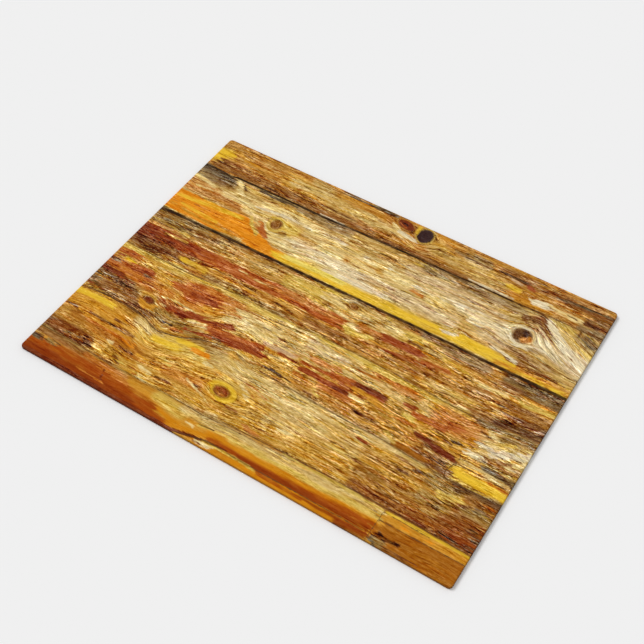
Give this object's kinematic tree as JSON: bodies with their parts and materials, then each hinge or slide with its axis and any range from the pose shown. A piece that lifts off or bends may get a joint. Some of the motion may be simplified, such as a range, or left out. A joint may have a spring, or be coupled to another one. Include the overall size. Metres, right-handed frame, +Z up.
{
  "type": "door mat",
  "caption": "Rectangular door mat with rounded corners: a short printed pile on backing cloth, bonded to a moulded rubber base with round grip nubs underneath.",
  "frame": {"origin": "middle of the mat, on the floor under the tips of the grip nubs", "axes": "+X along the long side, +Y along the short side towards the far long edge, +Z up out of the printed face"},
  "size_m": [0.6096, 0.4572, 0.005],
  "materials": {
    "polyester_pile": "short cut polyester pile, dye-printed with weathered varnished planks",
    "backing_cloth": "plain woven off-white polyester cloth",
    "hot_melt_film": "thin milky hot-melt adhesive film",
    "black_rubber": "matt black moulded rubber"
  },
  "bodies": {
    "root": {"printed_pile": "polyester_pile", "primary_backing": "backing_cloth", "bonding_film": "hot_melt_film", "rubber_base": "black_rubber"}
  },
  "joints": []
}
